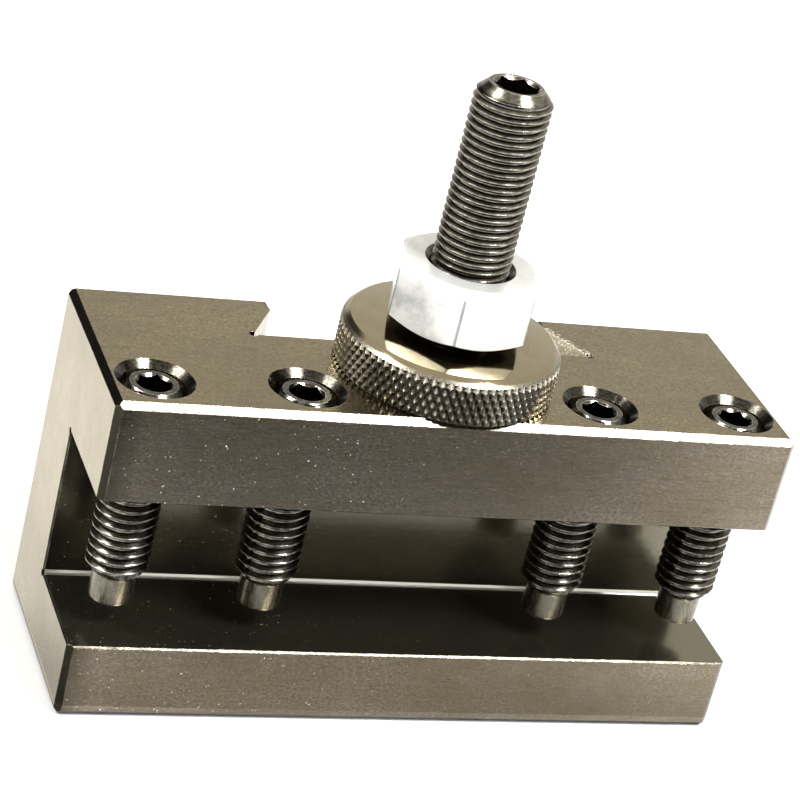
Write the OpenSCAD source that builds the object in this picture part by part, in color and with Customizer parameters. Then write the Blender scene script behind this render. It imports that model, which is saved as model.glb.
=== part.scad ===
// Tool holder of a lathe's quick-change tool post, for turning and facing tools.
// A ground steel block carries the tool in a slot along its front and hangs on the
// post by a dovetail groove in its back. Four set screws clamp the tool. A knurled
// nut on a tall stud sets the height, and a hexagon nut above it locks the setting.
// X runs along the tool, Y from the tool slot towards the post, and Z up the stud.
// The origin is below the middle of the whole holder, on the plane it stands on.

/* [Block] */
// Length of the block along the tool
block_length = 89; // [86:1:110]
// Depth of the block, from its front face to the lips of the dovetail
block_depth = 29.8; // [29:0.1:34]
// Height of the block
block_height = 44; // [42:0.5:56]
// Bevel on the block's outer edges
block_bevel = 0.8; // [0.4:0.1:1.2]
// Small bevel on the edges of the slot and the groove
inner_bevel = 0.2; // [0.2:0.1:0.5]

/* [Tool slot] */
// Thickness of the lower jaw, which the tool lies on
slot_floor = 10.2; // [8:0.1:12]
// Height of the slot
slot_height = 20.5; // [16:0.1:21]
// Depth of the slot, from the front face to its back wall
slot_depth = 16.6; // [14:0.1:17]
// Radius of the relief along the slot's inner corners
slot_relief_r = 0.5; // [0.3:0.1:0.8]

/* [Dovetail groove] */
// Depth of the groove from the lips
groove_depth = 9.9; // [8:0.1:10.4]
// Width of the groove's mouth, between the lips
groove_mouth = 37.6; // [32:0.1:40]
// Thickness of the straight lips
groove_lip = 2.8; // [2:0.1:3.5]
// Angle between a slanted flank and the groove's bottom
groove_angle = 60; // [55:1:65]
// Radius of the relief in the groove's root corners
groove_relief_r = 0.6; // [0.4:0.1:0.9]

/* [Set screws] */
// Thread diameter of the set screws
screw_d = 8; // [6:1:8]
// Length of a set screw
screw_length = 30; // [26:1:34]
// Distance of the inner two screws from the middle
screw_inner_x = 19.4; // [19:0.1:22]
// Distance of the outer two screws from the middle
screw_outer_x = 38.5; // [34:0.1:38.6]
// Distance of the screws behind the front face
screw_inset = 6.7; // [6.3:0.1:8]
// Depth of the screws' tops below the block's top face
screw_recess = 0.6; // [0:0.1:2]
// Diameter of the dog point
dog_d = 5.5; // [4:0.1:5.6]
// Length of the dog point
dog_length = 4; // [2:0.1:5]
// Key size of the screws' hexagon sockets
screw_key = 4; // [3:0.5:4]
// Radius of the countersink round each screw
countersink_r = 4.95; // [4.4:0.05:5]

/* [Height stud and nuts] */
// Distance of the stud behind the front face
stud_inset = 12.9; // [12:0.1:13]
// Thread diameter of the stud
stud_d = 10; // [8:1:10]
// Length of the stud
stud_length = 50; // [40:1:60]
// Height of the stud's lower end above the slot's ceiling
stud_clear = 2.3; // [0.5:0.1:4]
// Key size of the stud's hexagon socket
stud_key = 5; // [4:0.5:5]
// Diameter of the knurled nut
disc_d = 28; // [26:0.5:30]
// Thickness of the knurled nut
disc_thickness = 6.2; // [5:0.1:8]
// Bevel round the knurled nut's upper edge
disc_bevel = 1; // [0.5:0.1:1.2]
// Gap between the knurled nut and the hexagon nut
nut_gap = 1.2; // [0:0.1:3]
// Width across the hexagon nut's flats
nut_flats = 17; // [15:0.5:19]
// Thickness of the hexagon nut
nut_thickness = 8; // [5:0.5:10]
// Turn of the hexagon nut about the stud
nut_turn = 9; // [0:1:59]
// Radial gap between a threaded piece and its hole
thread_gap = 0.05; // [0.02:0.01:0.1]

/* [Hidden] */
$fn = 96;
past = 1; // how far a cutter reaches beyond the face it cuts

// The knurled nut overhangs the front face, and the frame is centred on both together
disc_overhang = max(0, disc_d / 2 - stud_inset);
front_y = (disc_overhang - block_depth) / 2;
back_y = front_y + block_depth;
wall_y = front_y + slot_depth;
root_y = back_y - groove_depth;
lip_y = back_y - groove_lip;
screw_y = front_y + screw_inset;
stud_y = front_y + stud_inset;

slot_ceiling = slot_floor + slot_height;
mouth_half = groove_mouth / 2;
root_half = mouth_half + (groove_depth - groove_lip) / tan(groove_angle);

screw_xs = [-screw_outer_x, -screw_inner_x, screw_inner_x, screw_outer_x];
screw_turns = [8, 40, 21, 52]; // how far each screw's socket is turned
screw_top = block_height - screw_recess;
screw_bevel = 1; // radial bevel at the socket end
stud_bevel = 1.6;
stud_foot_bevel = 1;
stud_foot = slot_ceiling + stud_clear;
stud_turn = 52;
point_bevel = 0.4; // on the dog point's rim
key_bevel = 0.25; // round the mouth of a socket
screw_socket_depth = 1.1 * screw_key;
stud_socket_depth = stud_key;
drill_angle = 30; // slope of the drilled bottom of a socket

disc_foot_bevel = 0.4;
disc_foot = block_height;
nut_foot = disc_foot + disc_thickness + nut_gap;
nut_slope = 30; // slope of the hexagon nut's bevels
nut_face_r = 0.475 * nut_flats; // radius of the nut's flat bearing face
nut_countersink = 0.7;
disc_countersink = 0.5;

// ---- Shapes that several pieces share ----

// A rectangle with its four corners cut off, from the origin
module bevelled_rectangle(w, h, c) {
    polygon([[c, 0], [w - c, 0], [w, c], [w, h - c], [w - c, h], [c, h], [0, h - c], [0, c]]);
}

// A box with all twelve edges bevelled, from the origin
module bevelled_box(x, y, z, c) {
    intersection() {
        linear_extrude(z) bevelled_rectangle(x, y, c);
        translate([0, y, 0]) rotate([90, 0, 0]) linear_extrude(y) bevelled_rectangle(x, z, c);
        rotate([90, 0, 90]) linear_extrude(x) bevelled_rectangle(y, z, c);
    }
}

// A square bar turned onto its edge, along Z, which bevels a square edge by c
module bevel_bar(length, c) {
    rotate([0, 0, 45]) cube([c * sqrt(2), c * sqrt(2), length], center = true);
}

// A cone that bevels the rim of a hole of radius r at z = 0, cutting downwards
module rim_bevel(r, c) {
    translate([0, 0, -c]) cylinder(r1 = r, r2 = r + c, h = c);
    cylinder(r = r + c, h = past);
}

// A hexagon socket that opens upwards at z = 0, with a drilled cone at its bottom
module hex_socket(key, depth) {
    corner_r = key / sqrt(3);
    translate([0, 0, -depth]) cylinder(r = corner_r, h = depth + past, $fn = 6);
    cone_h = key / 2 * tan(drill_angle);
    translate([0, 0, -depth - cone_h]) cylinder(r1 = 0, r2 = key / 2, h = cone_h);
    translate([0, 0, -key_bevel]) cylinder(r1 = corner_r - key_bevel, r2 = corner_r, h = key_bevel);
}

// A hole for a nut's thread, bevelled at both faces, through a piece of thickness h
module threaded_bore(r, h, c) {
    translate([0, 0, -past]) cylinder(r = r, h = h + 2 * past);
    translate([0, 0, h]) rim_bevel(r, c);
    mirror([0, 0, 1]) rim_bevel(r, c);
}

// ---- Holder block ----

// The slot for the tool, open to the front and at both ends
module tool_slot() {
    through = block_length + 2 * past;
    translate([-through / 2, front_y - past, slot_floor])
        cube([through, slot_depth + past, slot_height]);
    for (z = [slot_floor, slot_ceiling]) {
        translate([0, wall_y, z]) rotate([0, 90, 0])
            cylinder(r = slot_relief_r, h = through, center = true);
        translate([0, front_y, z]) rotate([0, 90, 0]) bevel_bar(through, inner_bevel);
    }
    for (x = [-block_length / 2, block_length / 2]) {
        for (z = [slot_floor, slot_ceiling])
            translate([x, wall_y - slot_depth / 2, z]) rotate([90, 0, 0])
                bevel_bar(slot_depth, inner_bevel);
        translate([x, wall_y, slot_floor + slot_height / 2]) bevel_bar(slot_height, inner_bevel);
    }
}

// The dovetail groove, open to the back and at the top and bottom
module dovetail_groove() {
    through = block_height + 2 * past;
    translate([0, 0, -past]) linear_extrude(through)
        polygon([[-mouth_half, back_y + past], [-mouth_half, lip_y], [-root_half, root_y],
                 [root_half, root_y], [mouth_half, lip_y], [mouth_half, back_y + past]]);
    for (side = [-1, 1]) {
        translate([side * root_half, root_y, -past])
            cylinder(r = groove_relief_r, h = through);
        translate([side * mouth_half, back_y, block_height / 2])
            bevel_bar(through, inner_bevel);
        for (z = [0, block_height])
            translate([side * mouth_half, back_y - groove_lip / 2, z]) rotate([90, 0, 0])
                bevel_bar(groove_lip, inner_bevel);
    }
    for (z = [0, block_height])
        translate([0, root_y, z]) rotate([0, 90, 0]) bevel_bar(2 * root_half, inner_bevel);
}

// A hole down through the upper jaw into the slot, bevelled at both ends
module jaw_hole(r, top_bevel) {
    translate([0, 0, slot_ceiling - past]) cylinder(r = r, h = block_height);
    translate([0, 0, block_height]) rim_bevel(r, top_bevel);
    translate([0, 0, slot_ceiling]) mirror([0, 0, 1]) rim_bevel(r, inner_bevel);
}

module holder_body() {
    screw_hole_r = screw_d / 2 + thread_gap;
    color("#8d8672") difference() {
        translate([-block_length / 2, front_y, 0])
            bevelled_box(block_length, block_depth, block_height, block_bevel);
        tool_slot();
        dovetail_groove();
        for (x = screw_xs)
            translate([x, screw_y, 0]) jaw_hole(screw_hole_r, countersink_r - screw_hole_r);
        translate([0, stud_y, 0]) jaw_hole(stud_d / 2 + thread_gap, disc_countersink);
    }
}

// ---- Set screws ----

// Set screw with a dog point, standing on the point's end at z = 0
module dog_point_screw() {
    shank_r = screw_d / 2;
    dog_r = dog_d / 2;
    shoulder = shank_r - dog_r;
    difference() {
        rotate_extrude() polygon([
            [0, 0], [dog_r - point_bevel, 0], [dog_r, point_bevel], [dog_r, dog_length],
            [shank_r, dog_length + shoulder], [shank_r, screw_length - screw_bevel],
            [shank_r - screw_bevel, screw_length], [0, screw_length]]);
        translate([0, 0, screw_length]) hex_socket(screw_key, screw_socket_depth);
    }
}

module set_screw(i) {
    color("#2b2a28") translate([screw_xs[i], screw_y, screw_top - screw_length])
        rotate([0, 0, screw_turns[i]]) dog_point_screw();
}

// ---- Height stud and its two nuts ----

module height_stud() {
    r = stud_d / 2;
    color("#3a3835") translate([0, stud_y, stud_foot]) rotate([0, 0, stud_turn]) difference() {
        rotate_extrude() polygon([
            [0, 0], [r - stud_foot_bevel, 0], [r, stud_foot_bevel], [r, stud_length - stud_bevel],
            [r - stud_bevel, stud_length], [0, stud_length]]);
        translate([0, 0, stud_length]) hex_socket(stud_key, stud_socket_depth);
    }
}

module knurled_nut() {
    r = disc_d / 2;
    color("#6f6a5e") translate([0, stud_y, disc_foot]) difference() {
        rotate_extrude() polygon([
            [0, 0], [r - disc_foot_bevel, 0], [r, disc_foot_bevel],
            [r, disc_thickness - disc_bevel], [r - disc_bevel, disc_thickness],
            [0, disc_thickness]]);
        threaded_bore(stud_d / 2 + thread_gap, disc_thickness, disc_countersink);
    }
}

module jam_nut() {
    corner_r = nut_flats / sqrt(3);
    outer_r = corner_r + past;
    bevel_h = (outer_r - nut_face_r) * tan(nut_slope);
    color("#e8e8e2") translate([0, stud_y, nut_foot]) difference() {
        intersection() {
            rotate([0, 0, nut_turn]) cylinder(r = corner_r, h = nut_thickness, $fn = 6);
            rotate_extrude() polygon([
                [0, 0], [nut_face_r, 0], [outer_r, bevel_h], [outer_r, nut_thickness - bevel_h],
                [nut_face_r, nut_thickness], [0, nut_thickness]]);
        }
        threaded_bore(stud_d / 2 + thread_gap, nut_thickness, nut_countersink);
    }
}

holder_body();
for (i = [0:3])
    set_screw(i);
height_stud();
knurled_nut();
jam_nut();
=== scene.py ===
"""Looks of the lathe tool holder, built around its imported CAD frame.

The block keeps its CAD mesh. The four set screws, the height stud and the two nuts are
rebuilt in finer meshes, with their threads, sockets and knurling as real geometry.
Lengths in the shape functions are in millimetres; the frame is in metres.
"""

import math

import bmesh
import bpy
import numpy as np
from mathutils import Matrix, Vector


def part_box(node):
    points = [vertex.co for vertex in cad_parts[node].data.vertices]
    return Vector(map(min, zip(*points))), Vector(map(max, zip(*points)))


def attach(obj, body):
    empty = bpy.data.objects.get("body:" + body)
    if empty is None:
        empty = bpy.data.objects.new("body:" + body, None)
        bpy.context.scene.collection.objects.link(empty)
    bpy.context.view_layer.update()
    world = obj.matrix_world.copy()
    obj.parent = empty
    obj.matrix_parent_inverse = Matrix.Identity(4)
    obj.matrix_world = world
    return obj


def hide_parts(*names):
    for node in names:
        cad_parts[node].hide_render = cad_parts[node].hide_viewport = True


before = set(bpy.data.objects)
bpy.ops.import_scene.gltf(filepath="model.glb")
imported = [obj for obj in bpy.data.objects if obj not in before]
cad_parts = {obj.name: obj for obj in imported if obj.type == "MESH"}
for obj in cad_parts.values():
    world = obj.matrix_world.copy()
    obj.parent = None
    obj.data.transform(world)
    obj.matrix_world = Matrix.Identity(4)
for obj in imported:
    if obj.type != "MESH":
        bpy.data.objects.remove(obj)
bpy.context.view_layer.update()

MM = 0.001
TURN = 2 * math.pi

# Sizes that the shapes and the materials share, in millimetres.
SCREW_R, SCREW_PITCH, DOG_LENGTH = 3.94, 1.25, 4.0
STUD_R, STUD_PITCH = 4.91, 1.0
DISC_R = 14.0
BORE_R = 5.05

SMOOTH_BELOW, NUT_SHARP = 35, 24  # edges sharper than this many degrees aren't smoothed


# ---------------------------------------------------------------- camera
def make_camera():
    """The photograph's view: from the front left, 26 degrees above the horizon."""
    right = Vector((0.932101, -0.286095, 0.222120))
    up = Vector((-0.055859, 0.492373, 0.868590))
    forward = Vector((0.357865, 0.822021, -0.442961))
    place = Matrix.Identity(4)
    for column, axis in enumerate((right, up, -forward)):
        for row in range(3):
            place[row][column] = axis[row]
    place.translation = Vector((-133.149, -296.729, 198.824)) * MM
    data = bpy.data.cameras.new("camera")
    data.lens, data.sensor_width = 129.71, 36
    data.clip_start, data.clip_end = 10 * MM, 20
    camera = bpy.data.objects.new("camera", data)
    camera.matrix_world = place
    bpy.context.scene.collection.objects.link(camera)
    bpy.context.scene.camera = camera


# ---------------------------------------------------------------- meshes
class Rings:
    """Rings of points about the Z axis, each joined to the one before it by faces."""

    def __init__(self, angles):
        self.angles = np.append(angles, angles[0] + TURN)
        self.points, self.faces, self.last = [], [], None

    def ring(self, r, z):
        """One ring at radius r and height z, each a number or one value per angle."""
        count = len(self.angles)
        r, z = np.broadcast_to(r, count), np.broadcast_to(z, count)
        start = len(self.points)
        self.points += list(zip(r * np.cos(self.angles), r * np.sin(self.angles), z))
        if self.last is not None:
            for j in range(count - 1):
                a, b = self.last + j, start + j
                self.faces.append((a, a + 1, b + 1, b))
        self.last = start

    def open_ring(self, r, z):
        """A ring whose values are given for the angles without the closing one."""
        self.ring(np.append(r, r[0]), np.append(z, z[0]))


# One pitch of a thread: share of the pitch, and depth as a share of the thread's depth.
THREAD = ((0.0, 1.0), (0.08, 0.97), (0.14, 0.84), (0.40, 0.105), (0.445, 0.02),
          (0.5, 0.0), (0.555, 0.02), (0.60, 0.105), (0.86, 0.84), (0.92, 0.97))
THREAD_DEPTH = 0.6134  # of the pitch


def thread(rings, major_r, pitch, z0, z1, envelope):
    """A right-hand thread from z0 up to z1, cut down to the radius envelope(z).

    It starts two turns early, and what lies outside z0 and z1 is pressed flat onto them.
    """
    rise = pitch * (rings.angles - rings.angles[0]) / TURN
    turns = int(math.ceil((z1 - z0) / pitch)) + 2
    for turn in range(-2, turns):
        for share, depth in THREAD:
            z = np.clip(z0 + (turn + share) * pitch + rise, z0, z1)
            r = major_r - depth * THREAD_DEPTH * pitch
            rings.ring(np.minimum(r, envelope(z)), z)


def hexagon_r(angles, apothem, corner=0.0):
    """Radius of a hexagon with corners at 0, 60, ... degrees, rounded by corner."""
    a = np.mod(angles + TURN / 12, TURN / 6) - TURN / 12  # from the nearest corner
    flat = apothem / np.cos(TURN / 12 - np.abs(a))
    if corner == 0:
        return flat
    c = (apothem - corner) / math.cos(TURN / 12)
    limit = math.atan2(corner / 2, c + corner * math.cos(TURN / 12))
    inside = np.abs(a) < limit
    arc = c * np.cos(a) + np.sqrt(np.maximum(corner**2 - (c * np.sin(a)) ** 2, 0))
    return np.where(inside, arc, flat)


def hex_socket(rings, top, key, depth):
    """A hexagon socket that opens at height top, with a drilled cone at its bottom."""
    half, corner_r = key / 2, key / math.sqrt(3)
    drill_slope = math.tan(math.radians(30))
    outline = hexagon_r(rings.angles, half)
    rings.ring(corner_r, top)
    rings.ring(outline, top - (corner_r - outline))
    rings.ring(outline, top - depth)
    rings.ring(half * 0.98, top - depth)
    rings.ring(half * 0.5, top - depth - half * 0.5 * drill_slope)
    rings.ring(0.0, top - depth - half * drill_slope)


WELD, SHORTEST_EDGE = 0.0015 * MM, 0.001 * MM


def finish_piece(name, points, faces, place, node, body, material,
                 sharp=SMOOTH_BELOW):
    """Makes the mesh object that stands for a CAD node."""
    mesh = bpy.data.meshes.new(name)
    bm = bmesh.new()
    made = [bm.verts.new((x * MM, y * MM, z * MM)) for x, y, z in points]
    for face in faces:
        if len(set(face)) > 2:
            bm.faces.new([made[i] for i in face])
    bmesh.ops.remove_doubles(bm, verts=bm.verts, dist=WELD)
    bmesh.ops.dissolve_degenerate(bm, edges=bm.edges, dist=SHORTEST_EDGE)
    loose = [v for v in bm.verts if not v.link_faces]
    bmesh.ops.delete(bm, geom=loose, context="VERTS")
    bmesh.ops.recalc_face_normals(bm, faces=bm.faces)
    bm.to_mesh(mesh)
    bm.free()
    mesh.transform(place)
    mesh.polygons.foreach_set("use_smooth", [True] * len(mesh.polygons))
    mesh.set_sharp_from_angle(angle=math.radians(sharp))
    mesh.materials.append(material)
    piece = bpy.data.objects.new(name, mesh)
    bpy.context.scene.collection.objects.link(piece)
    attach(piece, body)
    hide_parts(node)
    return piece


def axis_place(node, turn):
    """Puts a piece on the axis and foot of a CAD node, turned by turn degrees."""
    low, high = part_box(node)
    foot = Vector(((low[0] + high[0]) / 2, (low[1] + high[1]) / 2, low[2]))
    return Matrix.Translation(foot) @ Matrix.Rotation(math.radians(turn), 4, "Z")


def even_angles(count):
    return np.arange(count) * TURN / count


# ---------------------------------------------------------------- threaded pieces
def set_screw(index, turn, material):
    """M8 set screw with a dog point, 30 mm long."""
    length, bevel, key = 30.0, 0.94, 4.0
    dog_r, edge = 2.75, 0.4  # the point's radius, and the rounding of its end
    neck_low, neck_high, neck_swell = 0.25, 0.08, 0.05  # where the point meets the thread
    run_out = 0.1
    rings = Rings(even_angles(72))
    rings.ring(0.0, 0.0)
    rings.ring(dog_r - edge, 0.0)
    rings.ring(dog_r - 0.1 * edge, 0.75 * edge)
    rings.ring(dog_r, 1.2 * edge)
    rings.ring(dog_r, DOG_LENGTH - neck_low)
    rings.ring(dog_r + neck_swell, DOG_LENGTH - neck_high)

    def envelope(z):
        return np.minimum(dog_r + run_out + (z - DOG_LENGTH), SCREW_R - bevel + (length - z))

    thread(rings, SCREW_R, SCREW_PITCH, DOG_LENGTH, length, envelope)
    hex_socket(rings, length, key, 1.1 * key)
    node = f"set_screw_{index}"
    return finish_piece(f"screw_{index}_threaded", rings.points, rings.faces,
                        axis_place(node, turn), node, f"screw_{index}", material)


def height_stud(material):
    """M10 stud, 50 mm long, with a wide bevel and a hexagon socket at its top."""
    length, bevel, key = 50.0, 1.51, 5.0
    foot_r, turn = 4.0, 52
    rings = Rings(even_angles(96))
    rings.ring(0.0, 0.0)

    def envelope(z):
        return np.minimum(foot_r + z, STUD_R - bevel + (length - z))

    thread(rings, STUD_R, STUD_PITCH, 0.0, length, envelope)
    hex_socket(rings, length, key, key)
    return finish_piece("stud_threaded", rings.points, rings.faces,
                        axis_place("height_stud", turn), "height_stud", "stud",
                        material)


def jam_nut(material):
    """Hexagon nut, 17 mm across its flats, bevelled at both faces."""
    half, face_r, slope, height = 8.5, 8.075, math.tan(math.radians(30)), 8.0
    corner, countersink, turn = 0.35, 0.7, 9
    inner, outer, soft = 0.08, 0.06, 0.02  # the rounding between a face and its bevel
    near = np.radians([-3.0, -1.5, -1.1, -0.7, -0.35, 0.0, 0.35, 0.7, 1.1, 1.5, 3.0])
    flat = np.radians(np.arange(6.0, 55.0, 3.0))
    angles = np.sort(np.concatenate([k * TURN / 6 + np.concatenate([near, flat])
                                     for k in range(6)]))
    rings = Rings(angles)
    outline = hexagon_r(rings.angles, half, corner)
    bevel = (outline - face_r) * slope
    for r, z in ((BORE_R, 0.5 * height), (BORE_R, height - countersink),
                 (BORE_R + countersink, height), (face_r - inner, height),
                 (face_r + outer, height - soft), (outline, height - bevel),
                 (outline, bevel), (face_r + outer, soft), (face_r - inner, 0.0),
                 (BORE_R + countersink, 0.0), (BORE_R, countersink), (BORE_R, 0.5 * height)):
        rings.ring(r, z)
    return finish_piece("lock_nut_hexagon", rings.points, rings.faces,
                        axis_place("jam_nut", turn), "jam_nut", "lock_nut",
                        material, sharp=NUT_SHARP)


# ---------------------------------------------------------------- knurled nut
def clip(polygon, inside):
    """The part of a polygon of (angle, z, r) points where inside(point) is not above 0."""
    kept = []
    for i, here in enumerate(polygon):
        there = polygon[(i + 1) % len(polygon)]
        a, b = inside(here), inside(there)
        if a <= 0:
            kept.append(here)
        if (a < 0 < b) or (b < 0 < a):
            t = a / (a - b)
            kept.append(tuple(p + t * (q - p) for p, q in zip(here, there)))
    return kept


def knurled_nut(material):
    """Round nut with a diamond knurl on its rim and a bevel above and below it."""
    height, bevel, foot, countersink = 6.2, 1.0, 0.4, 0.5
    count, period, depth, top_share = 80, 1.9, 0.42, 0.17
    fade_from, fade_length, least = 0.25, 0.9, 0.3  # how the grooves end below the bevel
    inner, outer = 0.08, 0.05  # the rounding between the top and its bevel
    shoulder = height - bevel
    middle = (foot + shoulder) / 2  # the knurl is the same above and below this
    step = TURN / count
    diamond = ((1, 0), (0, 1), (-1, 0), (0, -1))

    def root(z):
        """Radius of the grooves, which get shallower just below the upper bevel."""
        share = (shoulder + fade_from - z) / fade_length
        return DISC_R - depth * min(1.0, max(least, share))

    def above(p):
        return p[2] + p[1] - (DISC_R + shoulder)

    def below(p):
        return p[2] - p[1] - (DISC_R - foot)

    polygons = []
    reach = int(height / period * 2) + 2
    for row in range(-reach, reach + 1):
        z0 = middle + row * period / 2
        for k in range(count):
            a0 = (k + (row % 2) / 2) * step
            outline = [(a0 + u * step / 2, z0 + v * period / 2, root(z0 + v * period / 2))
                       for u, v in diamond]
            peak = [(a0 + u * step / 2 * top_share, z0 + v * period / 2 * top_share, DISC_R)
                    for u, v in diamond]
            sides = [[outline[i], outline[(i + 1) % 4], peak[(i + 1) % 4], peak[i]]
                     for i in range(4)]
            for cell in sides + [peak]:
                cell = clip(cell, above)
                cell = clip(cell, below) if len(cell) > 2 else []
                if len(cell) > 2:
                    polygons.append(cell)

    def loop(test):
        """The points on one bevel's cone, in order of angle, once each."""
        found = {}
        for polygon in polygons:
            for a, z, radius in polygon:
                if abs(test((a, z, radius))) < 1e-7:
                    key = round((a % TURN) / step * 1000) % (count * 1000)
                    found[key] = (a % TURN, z, radius)
        return [np.array(values) for values in zip(*(found[key] for key in sorted(found)))]

    upper_angles, upper_z, upper_r = loop(above)
    lower_z, lower_r = loop(below)[1:]
    rings = Rings(upper_angles)
    rings.open_ring(upper_r, upper_z)
    for r, z in ((DISC_R - bevel + outer, height - outer), (DISC_R - bevel - inner, height),
                 (BORE_R + countersink, height), (BORE_R, height - countersink),
                 (BORE_R, countersink), (BORE_R + countersink, 0.0), (DISC_R - foot, 0.0)):
        rings.ring(r, z)
    rings.open_ring(lower_r, lower_z)
    points, faces = list(rings.points), list(rings.faces)
    for polygon in polygons:
        start = len(points)
        points += [(q * math.cos(a), q * math.sin(a), z) for a, z, q in polygon]
        faces.append(tuple(range(start, len(points))))
    return finish_piece("height_nut_knurled", points, faces,
                        axis_place("knurled_nut", 0), "knurled_nut", "height_nut",
                        material, sharp=NUT_SHARP)


# ---------------------------------------------------------------- materials
class Nodes:
    """Short names for the shader nodes of a new material or world."""

    def __init__(self, owner):
        owner.use_nodes = True
        self.owner, self.tree = owner, owner.node_tree
        self.tree.nodes.clear()

    def add(self, kind, inputs=None, **settings):
        node = self.tree.nodes.new(kind)
        for key, value in settings.items():
            setattr(node, key, value)
        for key, value in (inputs or {}).items():
            self.put(value, node.inputs[key])
        return node

    def put(self, value, socket):
        """Links another node's output to a socket, or sets a constant on it."""
        if isinstance(value, bpy.types.NodeSocket):
            self.tree.links.new(value, socket)
        else:
            socket.default_value = value

    def place(self):
        """The point in object coordinates, in metres."""
        return self.add("ShaderNodeTexCoord").outputs["Object"]

    def split(self, vector):
        return self.add("ShaderNodeSeparateXYZ", {0: vector}).outputs

    def noise(self, scale, detail, rough):
        """Noise with scale cells a metre along each axis."""
        vector = self.add("ShaderNodeMapping", {"Vector": self.place(), "Scale": scale})
        return self.add("ShaderNodeTexNoise", {"Vector": vector.outputs[0], "Scale": 1.0,
                                               "Detail": detail,
                                               "Roughness": rough}).outputs["Fac"]

    def ramp(self, value, low, high, to_low=0.0, to_high=1.0, **settings):
        return self.add("ShaderNodeMapRange", {"Value": value, "From Min": low,
                                               "From Max": high, "To Min": to_low,
                                               "To Max": to_high}, **settings).outputs[0]

    def math(self, operation, first, *others):
        """One operation on two values, or on more of them from left to right."""
        for other in others:
            first = self.add("ShaderNodeMath", {0: first, 1: other},
                             operation=operation).outputs[0]
        return first

    def product(self, *values):
        return self.math("MULTIPLY", *values)

    def greatest(self, *values):
        return self.math("MAXIMUM", *values)

    def vector(self, operation, a, b):
        return self.add("ShaderNodeVectorMath", {0: a, 1: b}, operation=operation).outputs[0]

    def dot(self, a, b):
        node = self.add("ShaderNodeVectorMath", {0: a, 1: b}, operation="DOT_PRODUCT")
        return node.outputs["Value"]

    def length(self, a):
        node = self.add("ShaderNodeVectorMath", {0: a}, operation="LENGTH")
        return node.outputs["Value"]

    def mix(self, factor, a, b):
        node = self.add("ShaderNodeMix", data_type="RGBA")
        factor_socket, a_socket, b_socket = (node.inputs[i] for i in (0, 6, 7))
        self.put(factor, factor_socket)
        self.put(a, a_socket)
        self.put(b, b_socket)
        return node.outputs[2]

    def rounded(self, radius):
        """The normal, rounded over radius at edges."""
        return self.add("ShaderNodeBevel", {"Radius": radius}, samples=4).outputs[0]

    def bump(self, height, distance, strength, **inputs):
        return self.add("ShaderNodeBump", {"Height": height, "Distance": distance,
                                           "Strength": strength, **inputs}).outputs[0]

    def true_normal(self):
        return self.add("ShaderNodeNewGeometry").outputs["True Normal"]

    def edges(self, radius):
        """0 on flat faces, rising towards 1 at edges closer than radius."""
        return self.ramp(self.dot(self.rounded(radius), self.true_normal()), 0.999, 0.90)

    def finish(self, color, metallic, roughness, **inputs):
        shader = self.add("ShaderNodeBsdfPrincipled",
                          {"Base Color": color, "Metallic": metallic,
                           "Roughness": roughness, **inputs})
        return self.surface(shader)

    def surface(self, shader, output="ShaderNodeOutputMaterial"):
        self.tree.links.new(shader.outputs[0], self.add(output).inputs["Surface"])
        return self.owner


def material_nodes(name):
    return Nodes(bpy.data.materials.new(name))


def box_mask(n, place, low, high, soft):
    """1 inside a box in object coordinates and 0 outside it, fading over soft inwards."""
    sides = []
    for axis in range(3):
        for edge, sign in ((low[axis], 1), (high[axis], -1)):
            if edge is not None:
                sides.append(n.ramp(place[axis], edge, edge + sign * soft))
    return n.product(*sides)


def slot_masks(n, place, low, high):
    """The tool slot's inside, and the thin line along its inner lower corner where a highlight
    is painted.
    """
    slot = box_mask(n, place, (low[0] + 0.1 * MM, low[1] + 0.25 * MM, 9.4 * MM),
                    (high[0] - 0.1 * MM, low[1] + 17.4 * MM, 31.4 * MM), 0.15 * MM)
    wall, floor = low[1] + 16.6 * MM, 10.2 * MM
    corner_highlight = box_mask(n, place, (low[0] + 0.4 * MM, wall - 0.20 * MM, floor - 0.6 * MM),
                    (high[0] - 0.4 * MM, wall + 0.6 * MM, floor + 0.15 * MM), 0.03 * MM)
    return slot, corner_highlight


def flank_masks(n, place, high):
    """The groove's right corner at the top, and the strip of it along the flank."""
    notch = box_mask(n, n.split(place), (16.5 * MM, high[1] - 10.6 * MM, 41 * MM),
                     (25 * MM, high[1] - 2.0 * MM, None), 0.8 * MM)
    out = (0.866, 0.5, 0)  # square to the flank, which stands at 60 degrees
    across = n.dot(place, out)
    flank = out[0] * 22.9 * MM + out[1] * (high[1] - 9.9 * MM)
    strip = n.product(n.ramp(across, flank - 0.5 * MM, flank - 0.1 * MM),
                      n.ramp(across, flank + 1.0 * MM, flank + 0.5 * MM))
    return notch, strip


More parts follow.
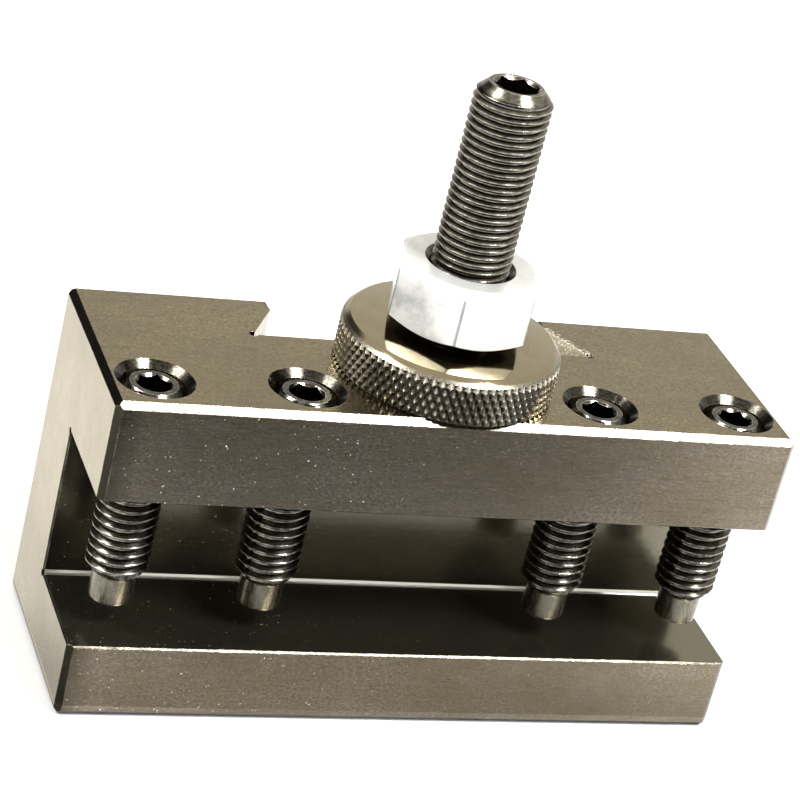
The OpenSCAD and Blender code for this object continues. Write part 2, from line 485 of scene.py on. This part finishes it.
def ground_steel():
    """Ground, oiled steel with a grain along X, with painted shade in the slot, on bevels,
    countersinks and the front's left edge, and painted light on the slot's corner and a groove
    flank.
    """
    n = material_nodes("ground_steel")
    low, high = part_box("holder_body")
    point = n.place()
    place = n.split(point)
    slot, corner_highlight = slot_masks(n, place, low, high)
    notch, strip = flank_masks(n, point, high)

    # Faces by direction: squares of the normal's parts are 1 and 0 on a face square to an
    # axis, 0.5 and 0.5 on a bevel or a cone at 45 degrees, 0.75 and 0.25 on the flanks.
    normal = n.true_normal()
    squared = n.vector("MULTIPLY", normal, normal)
    squares = n.split(squared)
    largest = n.greatest(squares[0], squares[1], squares[2])
    chamfer = n.ramp(largest, 0.64, 0.56)
    undercut = n.product(n.ramp(largest, 0.80, 0.77), n.ramp(largest, 0.68, 0.72))
    facing_y = squares[1]

    grain = n.noise((600.0, 5200.0, 5200.0), 4.0, 0.7)
    streak = n.noise((170.0, 1500.0, 1500.0), 3.0, 0.6)
    grit = n.noise((2200.0, 3200.0, 3200.0), 3.0, 0.7)
    cloud = n.noise((60.0, 90.0, 90.0), 5.0, 0.62)
    blotch = n.noise((420.0, 520.0, 520.0), 3.0, 0.6)
    specks = n.ramp(n.noise((2300.0, 2900.0, 2900.0), 2.0, 0.55), 0.725, 0.75)

    # The bare steel: ground lines, grit and clouds. The end faces have less grit.
    base = n.mix(n.ramp(grain, 0.3, 0.7), (0.190, 0.156, 0.091, 1), (0.270, 0.226, 0.140, 1))
    base = n.mix(n.product(facing_y, 0.8), base, (0.270, 0.236, 0.205, 1))
    base = n.mix(n.ramp(streak, 0.35, 0.7, 0.0, 0.45), base, (0.160, 0.133, 0.076, 1))
    share = n.dot(squared, (0.14, 0.52, 0.52))
    base = n.mix(n.product(n.ramp(grit, 0.5, 0.68), share), base, (0.44, 0.380, 0.260, 1))
    base = n.mix(n.product(n.ramp(grit, 0.5, 0.32), share), base, (0.085, 0.070, 0.040, 1))
    base = n.mix(n.ramp(blotch, 0.4, 0.75, 0.0, 0.35), base, (0.290, 0.242, 0.150, 1))
    base = n.mix(n.ramp(cloud, 0.38, 0.72, 0.0, 0.60), base, (0.160, 0.133, 0.078, 1))

    # Dust, most of it towards the left, and painted shade that darkens the smoother slot.
    dust = n.product(specks, n.greatest(facing_y, slot),
                     n.ramp(place[0], 10 * MM, -25 * MM, 0.3, 1.0))
    base = n.mix(n.product(dust, 0.8), base, (0.88, 0.86, 0.78, 1))
    # Painted shade: the slot's inside is darkened.
    base = n.mix(n.product(slot, 0.85), base, (0.170, 0.158, 0.118, 1))

    # Painted shade on bevels and countersinks, darkest on the upright bevels.
    scale = n.mix(n.ramp(grit, 0.42, 0.58), (0.021, 0.019, 0.016, 1), (0.058, 0.054, 0.046, 1))
    upright = n.ramp(squares[2], 0.1, 0.0, 0.0, 0.98)
    scale = n.mix(upright, scale, (0.010, 0.009, 0.007, 1))
    cover = n.greatest(n.ramp(blotch, 0.60, 0.70, 0.97, 0.8), upright)
    base = n.mix(n.product(chamfer, cover), base, scale)
    # Painted highlight: a bright line along the slot's inner lower corner.
    base = n.mix(corner_highlight, base, (0.95, 0.92, 0.84, 1))

    # Painted shade on the front face towards its left edge, painted light on the groove's
    # flank at its right corner, and scuffs over that corner.
    left_edge_shade = n.product(facing_y, n.ramp(place[0], low[0] + 0.6 * MM, low[0] + 4.2 * MM,
                                       0.75, 0.0), n.ramp(cloud, 0.3, 0.5, 0.7, 1.0))
    base = n.mix(left_edge_shade, base, (0.045, 0.040, 0.030, 1))
    # Painted light on the groove's right flank near its top corner.
    flank_painted_light = n.product(undercut, notch)
    base = n.mix(flank_painted_light, base, (0.40, 0.345, 0.235, 1))
    scuff = n.product(notch, n.ramp(grit, 0.52, 0.60, 0.0, 0.7), strip)
    base = n.mix(scuff, base, (0.92, 0.89, 0.82, 1))
    wear = n.product(n.edges(0.18 * MM), n.ramp(blotch, 0.40, 0.65, 0.0, 0.5))
    base = n.mix(wear, base, (0.60, 0.56, 0.46, 1))

    rough = n.math("ADD", n.ramp(grain, 0.25, 0.75, 0.13, 0.27),
                   n.ramp(cloud, 0.3, 0.7, 0.0, 0.06))
    rough = n.math("SUBTRACT", rough, n.product(slot, 0.03), n.product(chamfer, 0.05))
    dull = n.greatest(dust, corner_highlight, flank_painted_light, scuff, n.product(slot, 0.04))
    metal = n.math("SUBTRACT", 1.0, n.product(dull, 0.85))
    bump = n.bump(grain, 0.004 * MM, 0.7, Normal=n.rounded(0.12 * MM))
    return n.finish(base, metal, rough, Normal=bump)


def axis_distance(n, node):
    """Distance of a point from the axis of a round CAD node."""
    low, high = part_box(node)
    centre = (-(low[0] + high[0]) / 2, -(low[1] + high[1]) / 2, 0)
    moved = n.add("ShaderNodeMapping", {"Vector": n.place(), "Location": centre})
    return n.length(n.vector("MULTIPLY", moved.outputs[0], (1, 1, 0)))


def black_oxide():
    """Set screws: black oxide, rubbed bright on the crests, with a bare ground point."""
    n = material_nodes("black_oxide_steel")
    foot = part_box("set_screw_1")[0][2]
    height = n.split(n.place())[2]
    mottle = n.noise((1100.0, 1100.0, 1100.0), 3.0, 0.65)
    fine = n.noise((3500.0, 3500.0, 500.0), 2.0, 0.6)
    base = n.mix(n.ramp(mottle, 0.3, 0.7), (0.040, 0.037, 0.030, 1), (0.12, 0.113, 0.092, 1))
    wear = n.product(n.edges(0.16 * MM), n.ramp(mottle, 0.38, 0.62, 0.1, 1.0))
    base = n.mix(wear, base, (0.85, 0.82, 0.74, 1))
    dog_point = n.ramp(height, foot + (DOG_LENGTH + 0.15) * MM,
                       foot + (DOG_LENGTH - 0.05) * MM)
    bare = n.mix(n.ramp(fine, 0.3, 0.7), (0.16, 0.147, 0.117, 1), (0.27, 0.25, 0.205, 1))
    base = n.mix(dog_point, base, bare)
    rough = n.math("ADD", n.ramp(fine, 0.3, 0.7, 0.12, 0.24), n.product(dog_point, 0.08))
    return n.finish(base, 1.0, rough, Normal=n.bump(fine, 0.004 * MM, 0.7))


def stud_steel():
    """Height stud: darkened steel with painted shade in the thread roots, worn bright along
    the crests.
    """
    n = material_nodes("worn_stud_steel")
    mottle = n.noise((1100.0, 1100.0, 1500.0), 3.0, 0.7)
    fine = n.noise((7000.0, 7000.0, 3000.0), 2.0, 0.6)
    radius = axis_distance(n, "height_stud")
    base = n.mix(n.ramp(mottle, 0.3, 0.7), (0.055, 0.050, 0.038, 1), (0.25, 0.230, 0.185, 1))
    # Painted shade in the thread roots.
    groove_shade = n.product(n.ramp(radius, (STUD_R - 0.13) * MM, (STUD_R - 0.41) * MM),
                       n.ramp(radius, (STUD_R - 0.65) * MM, (STUD_R - 0.63) * MM))
    base = n.mix(n.product(groove_shade, 0.90), base, (0.03, 0.027, 0.02, 1))
    wear = n.product(n.edges(0.13 * MM), n.ramp(mottle, 0.35, 0.65, 0.25, 1.0))
    base = n.mix(wear, base, (0.88, 0.85, 0.77, 1))
    rough = n.ramp(fine, 0.3, 0.7, 0.12, 0.26)
    return n.finish(base, 1.0, rough, Normal=n.bump(fine, 0.005 * MM, 0.8))


def knurled_steel():
    """Knurled nut: turned rings on its face, painted shade in the grooves and on the facets
    facing down, and worn peaks.
    """
    n = material_nodes("turned_knurled_steel")
    radius = axis_distance(n, "knurled_nut")
    rings = n.add("ShaderNodeTexNoise", {"W": radius, "Scale": 7000.0, "Detail": 3.0},
                  noise_dimensions="1D").outputs["Fac"]
    mottle = n.noise((300.0, 300.0, 300.0), 4.0, 0.6)
    grit = n.noise((2600.0, 2600.0, 2600.0), 2.0, 0.6)
    rim = n.ramp(radius, (DISC_R - 0.50) * MM, (DISC_R - 0.44) * MM)
    groove_shade = n.product(n.ramp(radius, (DISC_R - 0.03) * MM, (DISC_R - 0.26) * MM), rim)
    peak = n.ramp(radius, (DISC_R - 0.07) * MM, (DISC_R - 0.03) * MM)
    base = n.mix(n.ramp(rings, 0.3, 0.7), (0.290, 0.245, 0.155, 1), (0.345, 0.295, 0.195, 1))
    base = n.mix(n.ramp(mottle, 0.35, 0.7, 0.0, 0.4), base, (0.22, 0.19, 0.12, 1))
    base = n.mix(rim, base, n.mix(n.ramp(grit, 0.35, 0.65), (0.35, 0.315, 0.25, 1),
                                  (0.66, 0.60, 0.48, 1)))
    upward = n.split(n.true_normal())[2]
    # Painted shade on the knurl's facets that face down.
    underside_shade = n.product(rim, n.ramp(upward, -0.05, -0.25))
    base = n.mix(n.product(underside_shade, 0.8), base, (0.030, 0.028, 0.024, 1))
    # Painted shade in the knurl's grooves.
    base = n.mix(n.product(groove_shade, 0.62), base, (0.045, 0.043, 0.038, 1))
    base = n.mix(n.product(peak, n.ramp(grit, 0.3, 0.6)), base, (0.95, 0.90, 0.78, 1))
    rough = n.math("ADD", n.ramp(rings, 0.25, 0.75, 0.08, 0.15), n.product(rim, 0.16))
    return n.finish(base, 1.0, rough, Normal=n.bump(rings, 0.003 * MM, 0.6))


def zinc_plate():
    """Hexagon nut: bright zinc plate, faintly clouded and scuffed, with painted light on its
    sides, painted shade on its top, corners and underside, and a darkened bore.
    """
    n = material_nodes("bright_zinc_plate")
    cloud = n.noise((210.0, 210.0, 210.0), 5.0, 0.65)
    fine = n.noise((1500.0, 1500.0, 1200.0), 3.0, 0.6)
    upward = n.split(n.true_normal())[2]
    radius = axis_distance(n, "jam_nut")
    # Painted light and shade: the sides are painted lighter and the top darker.
    lit_side = n.mix(n.ramp(cloud, 0.48, 0.66), (0.78, 0.78, 0.76, 1), (0.50, 0.51, 0.50, 1))
    top = n.mix(n.ramp(cloud, 0.4, 0.65), (0.56, 0.57, 0.545, 1), (0.46, 0.47, 0.445, 1))
    base = n.mix(n.ramp(upward, 0.7, 0.95), lit_side, top)
    base = n.mix(n.ramp(fine, 0.62, 0.78, 0.0, 0.3), base, (0.38, 0.38, 0.36, 1))
    # Painted shade along the hexagon's rounded corners.
    corner = n.ramp(radius, 9.67 * MM, 9.73 * MM)
    base = n.mix(n.product(corner, 0.7), base, (0.16, 0.16, 0.15, 1))
    # The countersinks and bore are darkened.
    bore = n.ramp(radius, (BORE_R + 0.73) * MM, (BORE_R + 0.61) * MM)
    bore_darkening = n.mix(n.ramp(fine, 0.3, 0.7), (0.03, 0.028, 0.02, 1), (0.11, 0.10, 0.085, 1))
    base = n.mix(bore, base, bore_darkening)
    # Painted shade on the underside and the lower bevel.
    base = n.mix(n.ramp(upward, -0.4, -0.6, 0.0, 0.95), base, (0.03, 0.028, 0.022, 1))
    rough = n.ramp(fine, 0.3, 0.7, 0.17, 0.26)
    return n.finish(base, 0.55, rough, Normal=n.bump(fine, 0.003 * MM, 0.5))


# ---------------------------------------------------------------- stage
# Panels on the floor: name, centre, size, turn, colour and strength. Each lies above the last.
CARDS = (
    ("dark_card", (0.016, -0.099), (0.34, 0.21), -50, (0.88, 0.90, 0.96, 1), 0.50),
    ("far_card", (-0.005, -0.125), (0.30, 0.12), 0, (0.90, 0.92, 0.97, 1), 0.14),
    ("bright_card", (-0.095, 0.04), (0.19, 0.26), 0, (1.0, 0.985, 0.93, 1), 1.95),
    ("near_card", (-0.010, -0.012), (0.16, 0.05), 0, (1.0, 0.97, 0.93, 1), 0.80),
)
CARD_GAP = 0.0004

# Darker places in the white room: direction, cosines where each starts and is full, level.
DARK_PLACES = (
    ((0.25, -0.86, 0.44), 0.70, 0.90, 0.07),
    ((-0.46, 0.82, 0.34), 0.90, 0.97, 0.10),
    ((-0.88, -0.18, 0.44), 0.80, 0.95, 0.10),
)

# Soft square lights: name, direction, size, power, and whether reflections show it.
LIGHTS = (
    ("key_right", (0.36, -0.44, 0.82), 0.27, 14.0, True),
    ("key_left", (-0.64, 0.10, 0.74), 0.30, 7.0, True),
    ("slot_fill", (-0.10, -0.95, 0.24), 0.15, 4.5, False),
)
LIGHT_DISTANCE, LIGHT_TARGET = 0.8, Vector((0, 0, 0.03))


def plane(name, centre, size, material, turn=0.0):
    """A flat stage panel that faces up, turned by turn degrees about Z."""
    mesh = bpy.data.meshes.new(name)
    w, h = size[0] / 2, size[1] / 2
    mesh.from_pydata([(-w, -h, 0), (w, -h, 0), (w, h, 0), (-w, h, 0)], [], [(0, 1, 2, 3)])
    mesh.materials.append(material)
    panel = bpy.data.objects.new(name, mesh)
    panel.location = centre
    panel.rotation_euler = (0, 0, math.radians(turn))
    bpy.context.scene.collection.objects.link(panel)
    return panel


def card_material(name, colour, strength):
    """Plain light or dark that is full at the card's middle and fades out to its rim."""
    n = material_nodes(name)
    coords = n.add("ShaderNodeTexCoord").outputs["Generated"]
    middle = n.add("ShaderNodeMapping", {"Vector": coords, "Location": (-0.5, -0.5, 0)})
    away = n.length(n.vector("MULTIPLY", middle.outputs[0], (1, 1, 0)))
    fade = n.ramp(away, 0.5, 0.12, interpolation_type="SMOOTHSTEP")
    clear = n.add("ShaderNodeBsdfTransparent")
    glow = n.add("ShaderNodeEmission", {"Color": colour, "Strength": strength})
    return n.surface(n.add("ShaderNodeMixShader", {0: fade, 1: clear.outputs[0],
                                                   2: glow.outputs[0]}))


def make_cards():
    """Panels that show in reflections only, and neither in view nor as shadows."""
    for level, (name, centre, size, turn, colour, strength) in enumerate(CARDS, start=1):
        panel = plane(name, (*centre, CARD_GAP * level), size,
                      card_material(name, colour, strength), turn)
        panel.visible_camera = panel.visible_shadow = False
        panel.visible_diffuse = panel.visible_transmission = False


def make_lights():
    """Square soft lights that look at the object."""
    for name, direction, size, power, glossy in LIGHTS:
        data = bpy.data.lights.new(name, "AREA")
        data.shape, data.size, data.energy = "SQUARE", size, power
        light = bpy.data.objects.new(name, data)
        towards = Vector(direction).normalized()
        light.location = LIGHT_TARGET + towards * LIGHT_DISTANCE
        light.rotation_euler = towards.to_track_quat("Z", "Y").to_euler()
        light.visible_camera = False
        light.visible_glossy = glossy
        bpy.context.scene.collection.objects.link(light)


def make_world():
    """A white room with three darker places, which the metal's slopes reflect."""
    n = Nodes(bpy.data.worlds.new("studio"))
    coords = n.add("ShaderNodeTexCoord").outputs["Generated"]
    levels = [n.ramp(n.dot(coords, towards), start, full, 1.0, level,
                     interpolation_type="SMOOTHSTEP")
              for towards, start, full, level in DARK_PLACES]
    back = n.add("ShaderNodeBackground", {"Color": (1.0, 0.965, 0.88, 1),
                                          "Strength": n.product(*levels)})
    bpy.context.scene.world = n.surface(back, "ShaderNodeOutputWorld")


def make_stage():
    bpy.context.scene.view_settings.view_transform = "Standard"
    make_world()
    pale = material_nodes("pale_floor").finish((0.64, 0.64, 0.64, 1), 0.0, 0.8)
    plane("floor", (0, 0, 0), (8, 8), pale)
    make_cards()
    make_lights()


# ---------------------------------------------------------------- the object
make_camera()
steel = ground_steel()
for material_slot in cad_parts["holder_body"].material_slots:
    material_slot.material = steel
screw_finish = black_oxide()
for index, turn in enumerate((8, 40, 21, 52), start=1):  # each screw's turn, in degrees
    set_screw(index, turn, screw_finish)
height_stud(stud_steel())
knurled_nut(knurled_steel())
jam_nut(zinc_plate())
make_stage()
